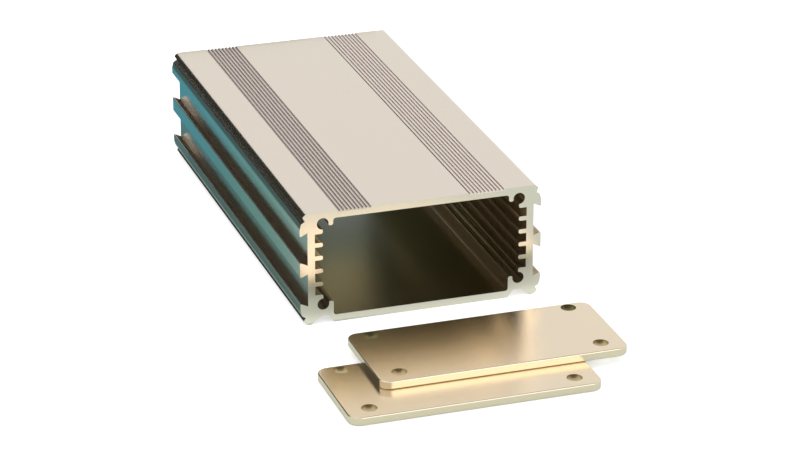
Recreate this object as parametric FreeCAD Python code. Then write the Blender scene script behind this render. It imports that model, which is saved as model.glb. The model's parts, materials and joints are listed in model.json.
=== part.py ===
# Extruded aluminium enclosure: an open tube case standing on its underside,
# with its two flat end plates lying in front of the open end, one on the other.
# Millimetres. X runs across the case, +Y along it to the far end, +Z up.
# The origin is the centre of the case's underside.
import os
import FreeCAD
import Part
from FreeCAD import Vector
from math import cos, radians, sin, sqrt, tan

# Extrusion, overall
caseLength = 100.0
caseWidth = 52.2
caseHeight = 24.6
wall = 1.55                 # top, bottom and sides
cornerR = 1.3               # long outer corners of the top
footCornerR = 1.6           # and of the underside
cornerSweep = 65            # degrees the corner turns before the groove's lip

# Outside of the side walls: shoulders above and below, a rib between,
# and two dovetail slots that run between them
slotDepth = 1.65            # from the shoulders' outer faces in to the side wall
shoulderHeight = 4.95       # from the top or underside to the slot's mouth
midRibHeight = 3.5          # across the outer face of the middle rib
undercut = 0.8              # how much higher a slot is at its base, on each side
slotLipR = 0.2

# Fine V-groove on each outer corner, between the rounded corner and the shoulder
cornerGrooveZ = 1.62        # its root, from the top or underside
cornerGrooveDepth = 1.12    # its root, in from the shoulder's outer face
cornerLip = 0.48            # the rounded corner's overhang past the root
shoulderStart = 0.48        # from the root's height to the shoulder's first edge
shoulderStep = 0.34         # that edge, in from the shoulder's outer face
shoulderEdgeR = 0.2
shoulderRise = 1.2          # from that edge up to the outer face
shoulderR = 2.0

# Screw ports: four C-shaped channels in the corners, for thread-forming screws
portR = 1.25
portTopWeb = 1.3            # metal between an upper port and the top
portFootWeb = 1.4           # metal between a lower port and the channel in the underside
portSideWeb = 0.45          # from a port to the side wall's inner face
portBite = 0.08             # how far a port cuts into the post beside it
lipBite = 0.05              # the same for the lip that closes it on the other side
portLipR = 0.22             # the lip's edge at a port's mouth
postWidth = 1.06            # the post on the inner side of each port
postReach = 0.5             # from the port's centre to the post's tip
postRootR = 0.6
postTipR = 0.45

# Board guides on the inside of each side wall, between the lips of the two ports
boardSlot = 1.92            # clear height between guides, for a 1.6 mm board
guideThickness = 0.96
guideReach = 1.7            # from the side wall to the guides' tips
guideTipR = 0.4

# Shallow channels in the underside, below the lower ports
footChannelDepth = 1.6
footChannelRoof = 1.7       # width of its roof
footChannelShift = 0.2      # its middle, in from the port's centre
footChannelRun = 1.3        # how far its inner side slopes
footChannelR = 0.25         # along both edges of its roof
footFlat = 0.25             # between its outer side and the rounded corner
footR = 0.3                 # inner edge of each foot

# Decorative bands of fine grooves in the top
grooveCount = 9
groovePitch = 0.82
grooveWidth = 0.46
grooveDepth = 0.3
bandInset = 11.7            # from the case's side to the middle of the band
faintGrooveDepth = 0.12     # one shallower groove on the inner side of the right band
faintGrooveWidth = 0.34
grooveStart = 0.01          # each cut starts this far above the top

# End plates
plateThickness = 1.8
plateSideMargin = 0.0       # the plate stays this far inside the case's outline
plateEdgeMargin = 0.5       # the same at the top and the underside
plateCornerR = 2.4
plateHoleR = 1.6
plateEdgeR = 0.3            # rounding of the edges round both faces

# Where the plates lie: centre of each from the middle of the case's open end
lowerPlateX = -4.4
lowerPlateFront = 35.65
upperPlateX = 5.0
upperPlateFront = 25.85

halfWidth = caseWidth / 2
wallOuterX = halfWidth - slotDepth
wallInnerX = wallOuterX - wall
ceiling = caseHeight - wall
openEndY = -caseLength / 2
bandCentreX = halfWidth - bandInset

# Centres of the ports
portX = wallInnerX - portSideWeb - portR
lowerPortZ = footChannelDepth + portFootWeb + portR
upperPortZ = caseHeight - portTopWeb - portR


def at(x, z):
    return Vector(x, 0, z)


def outline(corners):
    # Closed face from corner points (x, z) or (x, z, radius) in the XZ plane
    edges = []
    n = len(corners)
    entries, exits, arcs = [], [], []
    for i in range(n):
        here = at(*corners[i][:2])
        before = (at(*corners[i - 1][:2]) - here).normalize()
        after = (at(*corners[(i + 1) % n][:2]) - here).normalize()
        radius = corners[i][2] if len(corners[i]) > 2 else 0
        if radius == 0:
            entries.append(here)
            exits.append(here)
            arcs.append(None)
            continue
        cosTurn = before.dot(after)
        setback = radius * sqrt((1 + cosTurn) / (1 - cosTurn))
        start = here + before * setback
        end = here + after * setback
        toCentre = (before + after).normalize()
        centreAway = sqrt(setback ** 2 + radius ** 2)
        middle = here + toCentre * (centreAway - radius)
        entries.append(start)
        exits.append(end)
        arcs.append(Part.Arc(start, middle, end).toShape())
    for i in range(n):
        if arcs[i] is not None:
            edges.append(arcs[i])
        nextStart = entries[(i + 1) % n]
        if exits[i].distanceToPoint(nextStart) > 1e-6:
            edges.append(Part.makeLine(exits[i], nextStart))
    return Part.Face(Part.Wire(Part.__sortEdges__(edges)))


def mirrored(rightHalf):
    # Corners of a symmetric outline from its right half, listed bottom to top
    leftHalf = [(-c[0],) + tuple(c[1:]) for c in reversed(rightHalf)]
    return rightHalf + leftHalf


def upsideDown(corners, height):
    return [(c[0], height - c[1]) + tuple(c[2:]) for c in reversed(corners)]


def disc(x, z, r):
    return Part.Face(Part.Wire(Part.makeCircle(r, at(x, z), Vector(0, 1, 0))))


def cornerStart(radius):
    # Where the flat top or underside ends and the rounded corner begins
    lipX = halfWidth - cornerGrooveDepth + cornerLip
    return lipX - radius * sin(radians(cornerSweep))


def cornerAndShoulder(radius):
    # From the rounded corner out to the mouth of the slot and on to its base
    sweep = radians(cornerSweep)
    grooveRootX = halfWidth - cornerGrooveDepth
    shoulderZ = cornerGrooveZ + shoulderStart
    return [
        (cornerStart(radius) + radius * tan(sweep / 2), 0.0, radius),
        (grooveRootX + cornerLip, radius * (1 - cos(sweep))),
        (grooveRootX, cornerGrooveZ),
        (halfWidth - shoulderStep, shoulderZ, shoulderEdgeR),
        (halfWidth, shoulderZ + shoulderRise, shoulderR),
        (halfWidth, shoulderHeight, slotLipR),
        (wallOuterX, shoulderHeight - undercut),
    ]


def outerFace():
    ribLow = (caseHeight - midRibHeight) / 2
    middleRib = [
        (wallOuterX, ribLow + undercut),
        (halfWidth, ribLow, slotLipR),
        (halfWidth, caseHeight - ribLow, slotLipR),
        (wallOuterX, caseHeight - ribLow - undercut),
    ]
    roofIn = portX - footChannelShift - footChannelRoof / 2
    roofOut = roofIn + footChannelRoof
    footChannel = [
        (roofIn - footChannelRun, 0.0),
        (roofIn, footChannelDepth, footChannelR),
        (roofOut, footChannelDepth, footChannelR),
        (cornerStart(footCornerR) - footFlat, 0.0, footR),
    ]
    topCorner = upsideDown(cornerAndShoulder(cornerR), caseHeight)
    return outline(mirrored(footChannel + cornerAndShoulder(footCornerR)
                            + middleRib + topCorner))


def guideHeights(lowest, highest):
    # Middles of the free guides, as many as fit between the two ports' lips
    pitch = boardSlot + guideThickness
    rounding = 0.05
    count = int((highest - lowest) / pitch + rounding) - 1
    middle = (lowest + highest) / 2
    return [middle + (i - (count - 1) / 2) * pitch for i in range(count)]


def portCorners(portZ, up, wallZ):
    # Past one post and into its port, then out under the port's lip. up is 1 or -1.
    postOuterX = portX - portR + portBite
    postInnerX = postOuterX - postWidth
    postTipZ = portZ + up * postReach
    lipNearZ = portZ + up * (portR - lipBite)
    lipFarZ = lipNearZ + up * guideThickness
    tipX = wallInnerX - guideReach
    return [
        (postInnerX, wallZ, postRootR),
        (postInnerX, postTipZ, postTipR),
        (postOuterX, postTipZ, postTipR),
        (postOuterX, portZ),
        (portX, portZ),
        (tipX + portLipR, lipNearZ),
        (tipX, lipNearZ, portLipR),
        (tipX, lipFarZ, guideTipR),
        (wallInnerX, lipFarZ),
    ]


def cavityFace():
    # The room inside: past each post, in to the ports and round the board guides
    half = guideThickness / 2
    lipMiddle = portR - lipBite + half
    tipX = wallInnerX - guideReach
    corners = portCorners(lowerPortZ, 1, wall)
    for z in guideHeights(lowerPortZ + lipMiddle, upperPortZ - lipMiddle):
        corners += [
            (wallInnerX, z - half),
            (tipX, z - half, guideTipR),
            (tipX, z + half, guideTipR),
            (wallInnerX, z + half),
        ]
    corners += list(reversed(portCorners(upperPortZ, -1, ceiling)))
    return outline(mirrored(corners))


def groove(x, width, depth):
    start = caseHeight + grooveStart
    return outline([
        (x - width / 2, start),
        (x, caseHeight - depth),
        (x + width / 2, start),
    ])


def caseProfile():
    profile = outerFace().cut(cavityFace())
    cuts = []
    for side in (-1, 1):
        for portZ in (lowerPortZ, upperPortZ):
            cuts.append(disc(side * portX, portZ, portR))
        for i in range(grooveCount):
            x = bandCentreX + (i - (grooveCount - 1) / 2) * groovePitch
            cuts.append(groove(side * x, grooveWidth, grooveDepth))
    faintX = bandCentreX - (grooveCount + 1) / 2 * groovePitch
    cuts.append(groove(faintX, faintGrooveWidth, faintGrooveDepth))
    return profile.cut(cuts).removeSplitter()


def extrudedCase():
    face = caseProfile().Faces[0]
    face.translate(Vector(0, openEndY, 0))
    return face.extrude(Vector(0, caseLength, 0))


def isUpright(edge):
    return abs(edge.tangentAt(edge.FirstParameter).z) > 0.5


def endPlate(centreX, front, level):
    # Lies flat, with the edge that meets the top of the case turned to the case
    width = caseWidth - 2 * plateSideMargin
    depth = caseHeight - 2 * plateEdgeMargin
    centreY = openEndY - front
    x0, y0 = centreX - width / 2, centreY - depth / 2
    plate = Part.makeBox(width, depth, plateThickness, Vector(x0, y0, level))
    plate = plate.makeFillet(plateCornerR, [e for e in plate.Edges if isUpright(e)])
    plate = plate.makeFillet(plateEdgeR, [e for e in plate.Edges if not isUpright(e)])
    for side in (-1, 1):
        for portZ in (lowerPortZ, upperPortZ):
            holeX = centreX + side * portX
            holeY = y0 + portZ - plateEdgeMargin
            hole = Part.makeCylinder(plateHoleR, plateThickness, Vector(holeX, holeY, level))
            plate = plate.cut(hole)
    return plate


os.makedirs("parts", exist_ok=True)
pieces = {
    "extruded_case": extrudedCase(),
    "lower_end_plate": endPlate(lowerPlateX, lowerPlateFront, 0),
    "upper_end_plate": endPlate(upperPlateX, upperPlateFront, plateThickness),
}
for name, shape in pieces.items():
    print(name, "solids", len(shape.Solids), "valid", shape.isValid(),
          "volume mm3", round(shape.Volume, 1))
    shape.exportStep("parts/" + name + ".step")
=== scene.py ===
import json
from functools import partial
from math import pi, radians

import bpy
import bmesh
from mathutils import Matrix, Vector


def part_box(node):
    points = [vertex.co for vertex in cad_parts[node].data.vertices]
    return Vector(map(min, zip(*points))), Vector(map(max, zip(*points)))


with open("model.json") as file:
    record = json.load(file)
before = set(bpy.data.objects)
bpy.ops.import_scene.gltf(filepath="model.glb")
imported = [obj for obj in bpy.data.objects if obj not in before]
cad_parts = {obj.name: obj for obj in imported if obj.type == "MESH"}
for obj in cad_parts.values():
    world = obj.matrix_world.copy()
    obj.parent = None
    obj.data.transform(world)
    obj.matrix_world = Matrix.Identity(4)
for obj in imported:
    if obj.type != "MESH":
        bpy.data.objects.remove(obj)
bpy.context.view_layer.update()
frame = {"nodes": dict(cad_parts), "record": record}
print("frame loaded:", ", ".join(sorted(frame["nodes"])))

millimetre = 0.001
black = (0.0, 0.0, 0.0)
white = (1.0, 1.0, 1.0)

# The case's ends and half its width, mm
caseLow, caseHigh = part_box("extruded_case")
nearEnd, farEnd = caseLow.y / millimetre, caseHigh.y / millimetre
halfWidth = caseHigh.x / millimetre


def pastNearEnd(distances):
    # Places along Y that lie these distances back from the case's near end, mm
    return [nearEnd + distance for distance in distances]


def triple(value):
    return (value, value, value)


def feed(tree, value, target):
    # Links a socket, or sets a number, vector or colour
    if isinstance(value, bpy.types.NodeSocket):
        tree.links.new(value, target)
    elif target.type == "RGBA":
        target.default_value = (*value, 1.0)
    else:
        target.default_value = value


def addNode(tree, kind, values=None, **settings):
    # The values go to the node's inputs, by name or by number
    node = tree.nodes.new("ShaderNode" + kind)
    for name, value in settings.items():
        setattr(node, name, value)
    for name, value in (values or {}).items():
        feed(tree, value, node.inputs[name])
    return node


def maths(tree, operation, *values):
    return addNode(tree, "Math", dict(enumerate(values)), operation=operation).outputs[0]


def stretched(tree, value, start, end, low=0.0, high=1.0, interpolation="LINEAR"):
    # Runs from low to high as the value runs from start to end
    node = addNode(tree, "MapRange", {
        "Value": value, "From Min": start, "From Max": end, "To Min": low, "To Max": high,
    }, interpolation_type=interpolation)
    return node.outputs["Result"]


def mixColours(tree, share, first, second, blend="MIX"):
    node = addNode(tree, "Mix", {"Factor": share, "A": first, "B": second},
                   data_type="RGBA", blend_type=blend)
    return node.outputs["Result"]


def colourRamp(tree, value, start, end, startColour, endColour):
    # Smoothly from one colour to the other as the value runs from start to end
    share = stretched(tree, value, start, end, interpolation="SMOOTHSTEP")
    return mixColours(tree, share, startColour, endColour)


def addShaders(tree, first, second):
    return addNode(tree, "AddShader", {0: first, 1: second}).outputs[0]


def mixShaders(tree, share, first, second):
    return addNode(tree, "MixShader", {0: share, 1: first, 2: second}).outputs[0]


def millimetrePlace(tree):
    # Object coordinates in millimetres
    place = addNode(tree, "TexCoord").outputs["Object"]
    scale = triple(1 / millimetre)
    return addNode(tree, "Mapping", {"Vector": place, "Scale": scale}).outputs["Vector"]


def placeXyz(tree):
    # The same by its three axes
    return addNode(tree, "SeparateXYZ", {0: millimetrePlace(tree)}).outputs


def newMaterial(name):
    # A material, its tree and the input that its shader goes to
    material = bpy.data.materials.new(name)
    material.use_nodes = True
    tree = material.node_tree
    tree.nodes.clear()
    return material, tree, addNode(tree, "OutputMaterial").inputs["Surface"]


def newGroup(name, sizes):
    # Shader group that takes a place and sizes, in mm, and gives a height in mm and a mask
    group = bpy.data.node_groups.new(name, "ShaderNodeTree")
    group.interface.new_socket("Vector", in_out="INPUT", socket_type="NodeSocketVector")
    for label, default in sizes.items():
        socket = group.interface.new_socket(label, in_out="INPUT", socket_type="NodeSocketFloat")
        socket.default_value = default
    for label in ("Height", "Mask"):
        group.interface.new_socket(label, in_out="OUTPUT", socket_type="NodeSocketFloat")
    return group, group.nodes.new("NodeGroupInput").outputs


def giveHeight(group, mask, depth):
    # The group's two outputs, from its mask and the depth of a full one
    outputs = group.nodes.new("NodeGroupOutput").inputs
    feed(group, maths(group, "MULTIPLY", mask, depth), outputs["Height"])
    feed(group, mask, outputs["Mask"])


grainNoise = {"Detail": 3.0, "Roughness": 0.65}
grainRange = (0.2, 0.8)    # what that noise mostly stays between


def etchedGrain():
    # Fine even pits of an etched and anodised surface
    group, given = newGroup("etchedGrain", {"Size": 0.1, "Depth": 0.003})
    scale = maths(group, "DIVIDE", 1.0, given["Size"])
    noise = addNode(group, "TexNoise", {"Vector": given["Vector"], "Scale": scale, **grainNoise})
    giveHeight(group, noise.outputs["Fac"], given["Depth"])
    return group


lineNoise = {"Scale": 1.0, "Detail": 4.0, "Roughness": 0.7}
lineRange = (0.3, 0.7)     # of that noise, from no line to a full one


def drawnLines():
    # Long faint lines along Y, as a die or a brush leaves them
    group, given = newGroup("drawnLines", {"Width": 0.3, "Length": 30.0, "Depth": 0.001})
    across = maths(group, "DIVIDE", 1.0, given["Width"])
    along = maths(group, "DIVIDE", 1.0, given["Length"])
    scale = addNode(group, "CombineXYZ", {"X": across, "Y": along, "Z": across}).outputs[0]
    place = addNode(group, "VectorMath", {0: given["Vector"], 1: scale}, operation="MULTIPLY")
    noise = addNode(group, "TexNoise", {"Vector": place.outputs[0], **lineNoise})
    giveHeight(group, stretched(group, noise.outputs["Fac"], *lineRange), given["Depth"])
    return group


# What both finishes share
anodising = {
    "streakShare": 0.12,        # how far the lines turn to their own colour
    "streakLength": 30.0,       # mm
    "roughnessSpread": 0.03,    # up and down with the grain
}

extrusionFinish = {
    "colour": (0.715, 0.64, 0.545),
    "streakColour": (0.64, 0.56, 0.46),
    "roughness": 0.20,
    "grainSize": 0.10,          # of the etched surface, mm
    "grainDepth": 0.0025,
    "streakWidth": 0.35,        # die lines along the extrusion, mm
    "streakDepth": 0.0008,
    "bands": (10.75, 18.05),    # the grooved bands in the top, mm from the middle
    "bandLevel": 24.2,          # and what is above this, mm
    "bandEdge": 0.02,           # to each side of where a band starts and ends, mm
    # Painted shade on the bands: the left band's colour is darker and the right band's lighter, standing
    # in for how light falls in their grooves
    "leftBandPaintedShade": (0.62, 0.55, 0.505),
    "rightBandPaintedLight": (0.80, 0.71, 0.645),
    "bandRoughness": 0.36,
}

plateFinish = {
    "colour": (0.78, 0.665, 0.50),
    "streakColour": (0.69, 0.57, 0.42),
    "roughness": 0.22,
    "grainSize": 0.16,          # mm
    "grainDepth": 0.009,
    "streakWidth": 0.30,        # brush lines, mm
    "streakDepth": 0.0015,
}


def bandMask(tree, finish):
    # The finely grooved bands in the top, and their painted shade for the half that a point is in:
    # darker on the left, lighter on the right
    place = placeXyz(tree)
    across = maths(tree, "ABSOLUTE", place["X"])
    inner, outer = finish["bands"]
    level = finish["bandLevel"]
    edge = finish["bandEdge"]
    mask = colourRamp(tree, across, inner - edge, inner + edge, black, white)
    mask = colourRamp(tree, across, outer - edge, outer + edge, mask, black)
    mask = colourRamp(tree, place["Z"], level - edge, level + edge, black, mask)
    tint = colourRamp(tree, place["X"], -edge, edge, finish["leftBandPaintedShade"], finish["rightBandPaintedLight"])
    return mask, tint


def anodisedMetal(name, finish, grainGroup, lineGroup):
    material, tree, surface = newMaterial(name)
    place = millimetrePlace(tree)
    grain = addNode(tree, "Group", {
        "Vector": place, "Size": finish["grainSize"], "Depth": finish["grainDepth"],
    }, node_tree=grainGroup).outputs
    lines = addNode(tree, "Group", {
        "Vector": place, "Width": finish["streakWidth"], "Length": anodising["streakLength"],
        "Depth": finish["streakDepth"],
    }, node_tree=lineGroup).outputs

    share = maths(tree, "MULTIPLY", lines["Mask"], anodising["streakShare"])
    colour = mixColours(tree, share, finish["colour"], finish["streakColour"])
    spread = anodising["roughnessSpread"]
    smoothest, roughest = finish["roughness"] - spread, finish["roughness"] + spread
    roughness = stretched(tree, grain["Mask"], *grainRange, smoothest, roughest)
    if "bands" in finish:
        mask, tint = bandMask(tree, finish)
        # painted shade and light of the bands
        colour = colourRamp(tree, mask, 0, 1, colour, tint)
        roughness = colourRamp(tree, mask, 0, 1, roughness, triple(finish["bandRoughness"]))

    height = maths(tree, "ADD", grain["Height"], lines["Height"])
    bump = addNode(tree, "Bump", {"Height": height, "Strength": 1.0, "Distance": millimetre})
    metal = addNode(tree, "BsdfPrincipled", {
        "Metallic": 1.0, "Base Color": colour, "Roughness": roughness,
        "Normal": bump.outputs["Normal"],
    })
    feed(tree, metal.outputs[0], surface)
    return material


def flatSquare(side):
    shape = bmesh.new()
    bmesh.ops.create_grid(shape, x_segments=1, y_segments=1, size=side / 2)
    return shape


def stageObject(name, shape, material):
    mesh = bpy.data.meshes.new(name)
    shape.to_mesh(mesh)
    shape.free()
    mesh.materials.append(material)
    thing = bpy.data.objects.new(name, mesh)
    bpy.context.scene.collection.objects.link(thing)
    return thing


floor = {
    "size": 4.0,                        # m
    "drop": 0.05,                       # below the object, mm
    "colour": (0.86, 0.87, 0.88),
    "glow": 0.5,                        # added for the camera only
    "mirrored": (0.80, 0.90, 0.87),     # painted reflection: its colour as the metal alone sees it
    "paintedGlowStrip": (0.33, 0.37, 0.37),        # painted glow that the metal alone sees, added to that from just in front of the case on back
    "stripEdge": (-7.0, -1.5),          # where it starts and is full, mm past the near end
}

# Painted reflection: what the case's left side mirrors, the floor beside it, coloured for the metal
# alone. Along the side its colour goes by the point that sees it there, with painted shade next to the
# case, under it and far from it. Millimetres.
besideCase = {
    "slant": 2.97,                          # mm along for each mm out to the left
    "near": (0.27, 0.49, 0.485),
    "middle": (0.19, 0.44, 0.44),
    "far": (0.09, 0.36, 0.47),
    "along": (-62.0, -50.0, -22.0, 45.0),   # where the plain floor ends, and those three are
    "paintedContactShade": (0.12, 0.22, 0.22),
    "contactEdge": (-33.0, -27.5),          # across, from those colours to the contact's
    "outer": (0.07, 0.14, 0.15),
    "outerEdge": (-62.0, -44.0),            # across, from this colour in to the others
    "distant": (0.02, 0.012, 0.003),
    "distantEdge": (-130.0, -80.0),         # and from this one
    "caseEdge": (-26.4, -25.6),             # across, where the floor beside the case ends
    "underCase": (-20.0, 0.0),              # across, from the contact's colour to the plain floor
    "frontEdge": (-1.0, 0.0),               # past the near end, where that under the case starts
}


# Painted reflection of the floor for the metal, darker in painted shade by and under the case
def mirroredFloorColour(tree):
    place = placeXyz(tree)
    x, y = place["X"], place["Y"]
    slant = besideCase["slant"]
    along = maths(tree, "ADD", maths(tree, "MULTIPLY_ADD", x, slant, slant * halfWidth), y)
    start, near, middle, far = besideCase["along"]
    plain, paintedContactShade = floor["mirrored"], besideCase["paintedContactShade"]
    tint = colourRamp(tree, along, near, middle, besideCase["near"], besideCase["middle"])
    tint = colourRamp(tree, along, middle, far, tint, besideCase["far"])
    tint = colourRamp(tree, x, *besideCase["contactEdge"], tint, paintedContactShade)
    tint = colourRamp(tree, along, start, near, plain, tint)
    tint = colourRamp(tree, x, *besideCase["outerEdge"], besideCase["outer"], tint)
    tint = colourRamp(tree, x, *besideCase["distantEdge"], besideCase["distant"], tint)
    under = colourRamp(tree, x, *besideCase["underCase"], paintedContactShade, plain)
    under = colourRamp(tree, y, *pastNearEnd(besideCase["frontEdge"]), plain, under)
    return colourRamp(tree, x, *besideCase["caseEdge"], tint, under)


# Painted glow on the floor just in front of the case, seen only in the metal's reflection
def paintedGlowStripColour(tree):
    place = placeXyz(tree)
    paintedGlowStrip = colourRamp(tree, place["Y"], *pastNearEnd(floor["stripEdge"]), black, floor["paintedGlowStrip"])
    return colourRamp(tree, place["X"], *besideCase["caseEdge"], black, paintedGlowStrip)


def makeFloor():
    material, tree, surface = newMaterial("floorPaper")
    path = addNode(tree, "LightPath").outputs
    strength = maths(tree, "MULTIPLY", path["Is Camera Ray"], floor["glow"])
    paper = addNode(tree, "BsdfDiffuse", {"Color": floor["colour"]}).outputs[0]
    glow = addNode(tree, "Emission", {"Color": white, "Strength": strength}).outputs[0]
    mirrored = addNode(tree, "BsdfDiffuse", {"Color": mirroredFloorColour(tree)}).outputs[0]
    paintedGlowStrip = addNode(tree, "Emission", {"Color": paintedGlowStripColour(tree)}).outputs[0]
    lit = addShaders(tree, paper, glow)
    seenByMetal = addShaders(tree, mirrored, paintedGlowStrip)
    feed(tree, mixShaders(tree, path["Is Glossy Ray"], lit, seenByMetal), surface)
    shape = flatSquare(floor["size"])
    bmesh.ops.translate(shape, verts=shape.verts, vec=(0, 0, -floor["drop"] * millimetre))
    stageObject("floor", shape, material)


room = {
    "strength": 0.9,
    "overhead": 0.5,                # how bright the metal sees the room straight above
    "overheadEdge": (0.7, 0.95),    # how far up that starts and is full, where 1 is straight up
}


def makeWorld():
    world = bpy.data.worlds.new("studio")
    bpy.context.scene.world = world
    world.use_nodes = True
    world.cycles.sampling_method = "NONE"    # an even light needs no map of its bright places
    tree = world.node_tree
    tree.nodes.clear()
    light = addNode(tree, "Background", {"Color": white, "Strength": room["strength"]}).outputs[0]
    way = addNode(tree, "TexCoord").outputs["Generated"]
    up = addNode(tree, "SeparateXYZ", {0: way}).outputs["Z"]
    colour = colourRamp(tree, up, *room["overheadEdge"], white, triple(room["overhead"]))
    backdrop = addNode(tree, "Background", {"Color": colour}).outputs[0]
    path = addNode(tree, "LightPath").outputs
    seen = maths(tree, "MAXIMUM", path["Is Camera Ray"], path["Is Glossy Ray"])
    addNode(tree, "OutputWorld", {"Surface": mixShaders(tree, seen, light, backdrop)})


# Which way a card faces, as its turn from lying face up, in degrees about X and Y
facings = {"up": (0, 0), "down": (180, 0), "near": (90, 0), "left": (0, -90)}


def glowCard(name, size, facing, middle, colourOf, clear=False):
    # Glowing card of painted reflection, that the metal alone sees, and only from its front. Sizes are
    # in mm, and a clear one adds its light to what is behind it.
    material, tree, surface = newMaterial(name)
    glow = addNode(tree, "Emission", {"Color": colourOf(tree)}).outputs[0]
    empty = addNode(tree, "BsdfTransparent").outputs[0]
    front = addShaders(tree, glow, empty) if clear else glow
    fromBehind = addNode(tree, "NewGeometry").outputs["Backfacing"]
    feed(tree, mixShaders(tree, fromBehind, front, empty), surface)
    shape = flatSquare(1)
    bmesh.ops.scale(shape, verts=shape.verts, vec=(*size, 1))
    for angle, axis in zip(facings[facing], "XY"):
        turn = Matrix.Rotation(radians(angle), 3, axis)
        bmesh.ops.rotate(shape, verts=shape.verts, matrix=turn)
    bmesh.ops.translate(shape, verts=shape.verts, vec=middle)
    bmesh.ops.scale(shape, verts=shape.verts, vec=triple(millimetre))
    card = stageObject(name, shape, material)
    card.visible_camera = False
    card.visible_diffuse = False
    card.visible_shadow = False
    card.visible_transmission = False


def makeStandingCard(name, values, y, colourOf):
    size = (values["right"] - values["left"], values["height"])
    middle = ((values["left"] + values["right"]) / 2, y, values["height"] / 2)
    glowCard(name, size, "near", middle, colourOf)


# Painted reflection behind the open far end: a glowing card that the inside of the case mirrors, mm
farReflectionCard = {
    "gap": 4.0, "left": -24.3, "right": 24.3, "height": 26.0,
    "low": (0.90, 0.74, 0.37),
    "middle": (0.12, 0.225, 0.18),
    "high": (0.095, 0.165, 0.22),
    "top": (0.34, 0.38, 0.38),
    "stops": (0.0, 9.0, 15.0, 24.0),    # heights of these four
    "paintedShade": (0.08, 0.07, 0.045),
    "fadeIn": (4.0, 11.0),              # across, from the painted shade to the coloured stretch
}


def farReflectionCardColour(tree):
    place = placeXyz(tree)
    low, middle, high, top = farReflectionCard["stops"]
    colour = colourRamp(tree, place["Z"], low, middle, farReflectionCard["low"], farReflectionCard["middle"])
    colour = colourRamp(tree, place["Z"], middle, high, colour, farReflectionCard["high"])
    colour = colourRamp(tree, place["Z"], high, top, colour, farReflectionCard["top"])
    return colourRamp(tree, place["X"], *farReflectionCard["fadeIn"], farReflectionCard["paintedShade"], colour)


# Painted dark reflection: a dark card far behind the case and to its left, that the metal alone sees, mm
leftShadeCard = {
    "distance": 500.0, "left": -950.0, "right": -85.0, "height": 700.0,
    "low": (0.034, 0.037, 0.034),
    "high": (0.050, 0.032, 0.0),
    "stops": (330.0, 420.0),            # heights, from the low colour to the high one
}


def leftShadeCardColour(tree):
    z = placeXyz(tree)["Z"]
    return colourRamp(tree, z, *leftShadeCard["stops"], leftShadeCard["low"], leftShadeCard["high"])


# Painted glow just under the case's ceiling, inside its mouth, that the metal alone sees, mm
mouthGlow = {
    "height": 22.9, "width": 40.0, "depth": 30.0,
    "near": (0.98, 0.80, 0.54),
    "middle": (0.14, 0.09, 0.01),
    "fade": (3.0, 12.0, 18.0),                  # in from the mouth: near, middle and none
    "leftEnds": ((0.36, 0.29, 0.16), black),    # added along the left, across its edge
    "leftEdge": (-17.0, -13.0),
    "leftFade": (16.0, 28.0),                   # in from the mouth, down to none
    "rightEnds": (black, (0.25, 0.20, 0.14)),   # and along the right
    "rightEdge": (10.0, 16.0),
    "rightFade": (12.0, 18.0),
}


def mouthGlowColour(tree):
    place = placeXyz(tree)
    x, y = place["X"], place["Y"]
    near, middle, far = pastNearEnd(mouthGlow["fade"])
    colour = colourRamp(tree, y, near, middle, mouthGlow["near"], mouthGlow["middle"])
    colour = colourRamp(tree, y, middle, far, colour, black)
    for side in ("left", "right"):
        part = colourRamp(tree, x, *mouthGlow[side + "Edge"], *mouthGlow[side + "Ends"])
        part = colourRamp(tree, y, *pastNearEnd(mouthGlow[side + "Fade"]), part, black)
        colour = mixColours(tree, 1.0, colour, part, blend="ADD")
    return colour


guideSide = 20.9    # just inside the tips of the right wall's guides, mm

# Painted glow along those guides, inside the mouth, that the metal alone sees, mm
guideGlow = {
    "low": 9.0, "high": 20.7, "depth": 13.0,
    "top": (0.95, 0.76, 0.50),
    "stops": (13.8, 20.0),          # heights, from none up to the top's colour
}

# And a dark card of painted shade along the rest of that wall, that the metal alone sees
guideShade = {
    "low": 1.7, "high": 22.9,
    "near": (0.012, 0.008, 0.001),
    "far": (0.028, 0.030, 0.014),
}


def guideGlowColour(tree):
    return colourRamp(tree, placeXyz(tree)["Z"], *guideGlow["stops"], black, guideGlow["top"])


def guideShadeColour(tree):
    y = placeXyz(tree)["Y"]
    return colourRamp(tree, y, nearEnd, farEnd, guideShade["near"], guideShade["far"])


def makeWallCard(name, values, start, end, colourOf, clear=False):
    size = (values["high"] - values["low"], end - start)
    middle = (guideSide, (start + end) / 2, (values["low"] + values["high"]) / 2)
    glowCard(name, size, "left", middle, colourOf, clear)


# Painted shade and painted reflection at the foot of each hole in the plates, mm, with its colours from
# near to far: dark near, light far, and darker by the case
holeShade = {
    "level": 0.005,                 # above the plate's underside
    "edge": (-0.7, 0.4),            # along, from the middle of the hole
    "openEnds": ((0.09, 0.075, 0.03), (0.66, 0.62, 0.45)),
    "byCaseEnds": ((0.025, 0.03, 0.015), (0.22, 0.23, 0.14)),
    "caseReach": 20.0,              # a hole nearer to the case than this is by the case
    "patterns": {"lower_end_plate": "lower_plate_holes", "upper_end_plate": "upper_plate_holes"},
}


def holeShadeColour(tree, y, ends):
    start, end = (y + edge for edge in holeShade["edge"])
    return colourRamp(tree, placeXyz(tree)["Y"], start, end, *ends)


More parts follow.
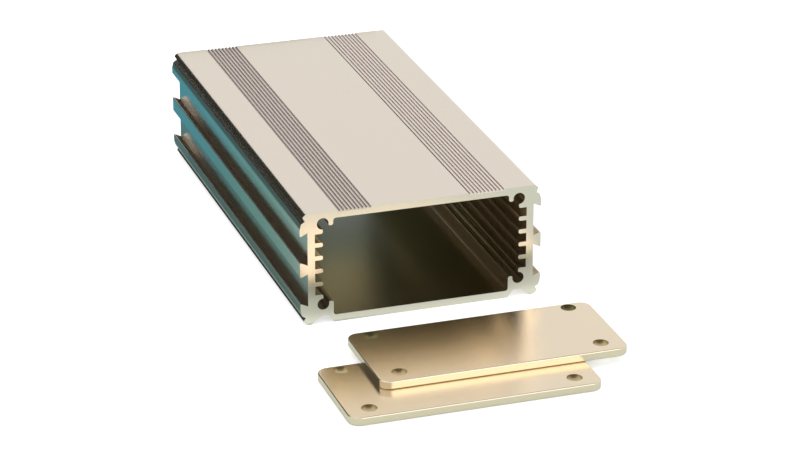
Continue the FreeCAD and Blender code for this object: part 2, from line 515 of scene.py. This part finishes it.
def makeHoleCards(plate, patternName):
    pattern = next(m for m in frame["record"]["mounts"] if m["name"] == patternName)
    middle = Vector(pattern["pos_m"]) / millimetre
    sizes = pattern["dims"]
    width = 2 * sizes["hole_r_mm"]
    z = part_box(plate)[0].z / millimetre + holeShade["level"]
    for across in (-1, 1):
        for along in (-1, 1):
            x = middle.x + across * sizes["spacing_x_mm"] / 2
            y = middle.y + along * sizes["spacing_y_mm"] / 2
            byCase = y > nearEnd - holeShade["caseReach"]
            ends = holeShade["byCaseEnds" if byCase else "openEnds"]
            colourOf = partial(holeShadeColour, y=y, ends=ends)
            # a card of painted shade and reflection in the hole
            glowCard(plate + "_hole", (width, width), "up", (x, y, z), colourOf)


def makeCards():
    makeStandingCard("farReflectionCard", farReflectionCard, farEnd + farReflectionCard["gap"], farReflectionCardColour)
    makeStandingCard("leftShadeCard", leftShadeCard, leftShadeCard["distance"], leftShadeCardColour)
    size = (mouthGlow["width"], mouthGlow["depth"])
    middle = (0, nearEnd + mouthGlow["depth"] / 2, mouthGlow["height"])
    glowCard("mouthGlow", size, "down", middle, mouthGlowColour, clear=True)
    mid = nearEnd + guideGlow["depth"]
    makeWallCard("guideGlow", guideGlow, nearEnd, mid, guideGlowColour, clear=True)
    makeWallCard("guideShade", guideShade, mid, farEnd, guideShadeColour)
    for plate, patternName in holeShade["patterns"].items():
        makeHoleCards(plate, patternName)


# Square lamps, in metres
lamps = {
    "frontLamp": {"place": (0.17, -0.56, 0.24), "aim": (0.0, -0.08, 0.0), "size": 0.34, "radiance": 1.3},
    "topLamp": {"place": (-0.25, -0.1, 0.7), "aim": (0.0, 0.0, 0.0), "size": 0.5, "radiance": 0.8},
}


def makeLamp(name, values):
    lamp = bpy.data.lights.new(name, "AREA")
    lamp.shape = "SQUARE"
    lamp.size = values["size"]
    lamp.energy = values["radiance"] * pi * values["size"] ** 2
    thing = bpy.data.objects.new(name, lamp)
    thing.location = values["place"]
    aim = Vector(values["aim"]) - Vector(values["place"])
    thing.rotation_euler = aim.to_track_quat("-Z", "Y").to_euler()
    bpy.context.scene.collection.objects.link(thing)


camera = {
    "place": (-0.19968, -0.62947, 0.28002),    # m
    "tilt": 66.866,                            # degrees from straight down
    "turn": -18.566,
    "roll": -0.071,
    "lens": 146.6,                             # mm, for a sensor of this width
    "sensor": 36.0,
}


def makeCamera():
    lens = bpy.data.cameras.new("camera")
    lens.lens = camera["lens"]
    lens.sensor_width = camera["sensor"]
    eye = bpy.data.objects.new("camera", lens)
    eye.location = camera["place"]
    eye.rotation_euler = [radians(camera[angle]) for angle in ("tilt", "roll", "turn")]
    bpy.context.scene.collection.objects.link(eye)
    bpy.context.scene.camera = eye


groups = (etchedGrain(), drawnLines())
extrusionMetal = anodisedMetal("satinExtrusion", extrusionFinish, *groups)
plateMetal = anodisedMetal("brushedPlate", plateFinish, *groups)
for name, node in frame["nodes"].items():
    node.material_slots[0].material = extrusionMetal if name == "extruded_case" else plateMetal
print("finishes given")

makeFloor()
makeWorld()
print("floor and room made")
makeCards()
print("cards placed")
for name, values in lamps.items():
    makeLamp(name, values)
makeCamera()
bpy.context.scene.view_settings.view_transform = "Standard"
print("lamps and camera placed")
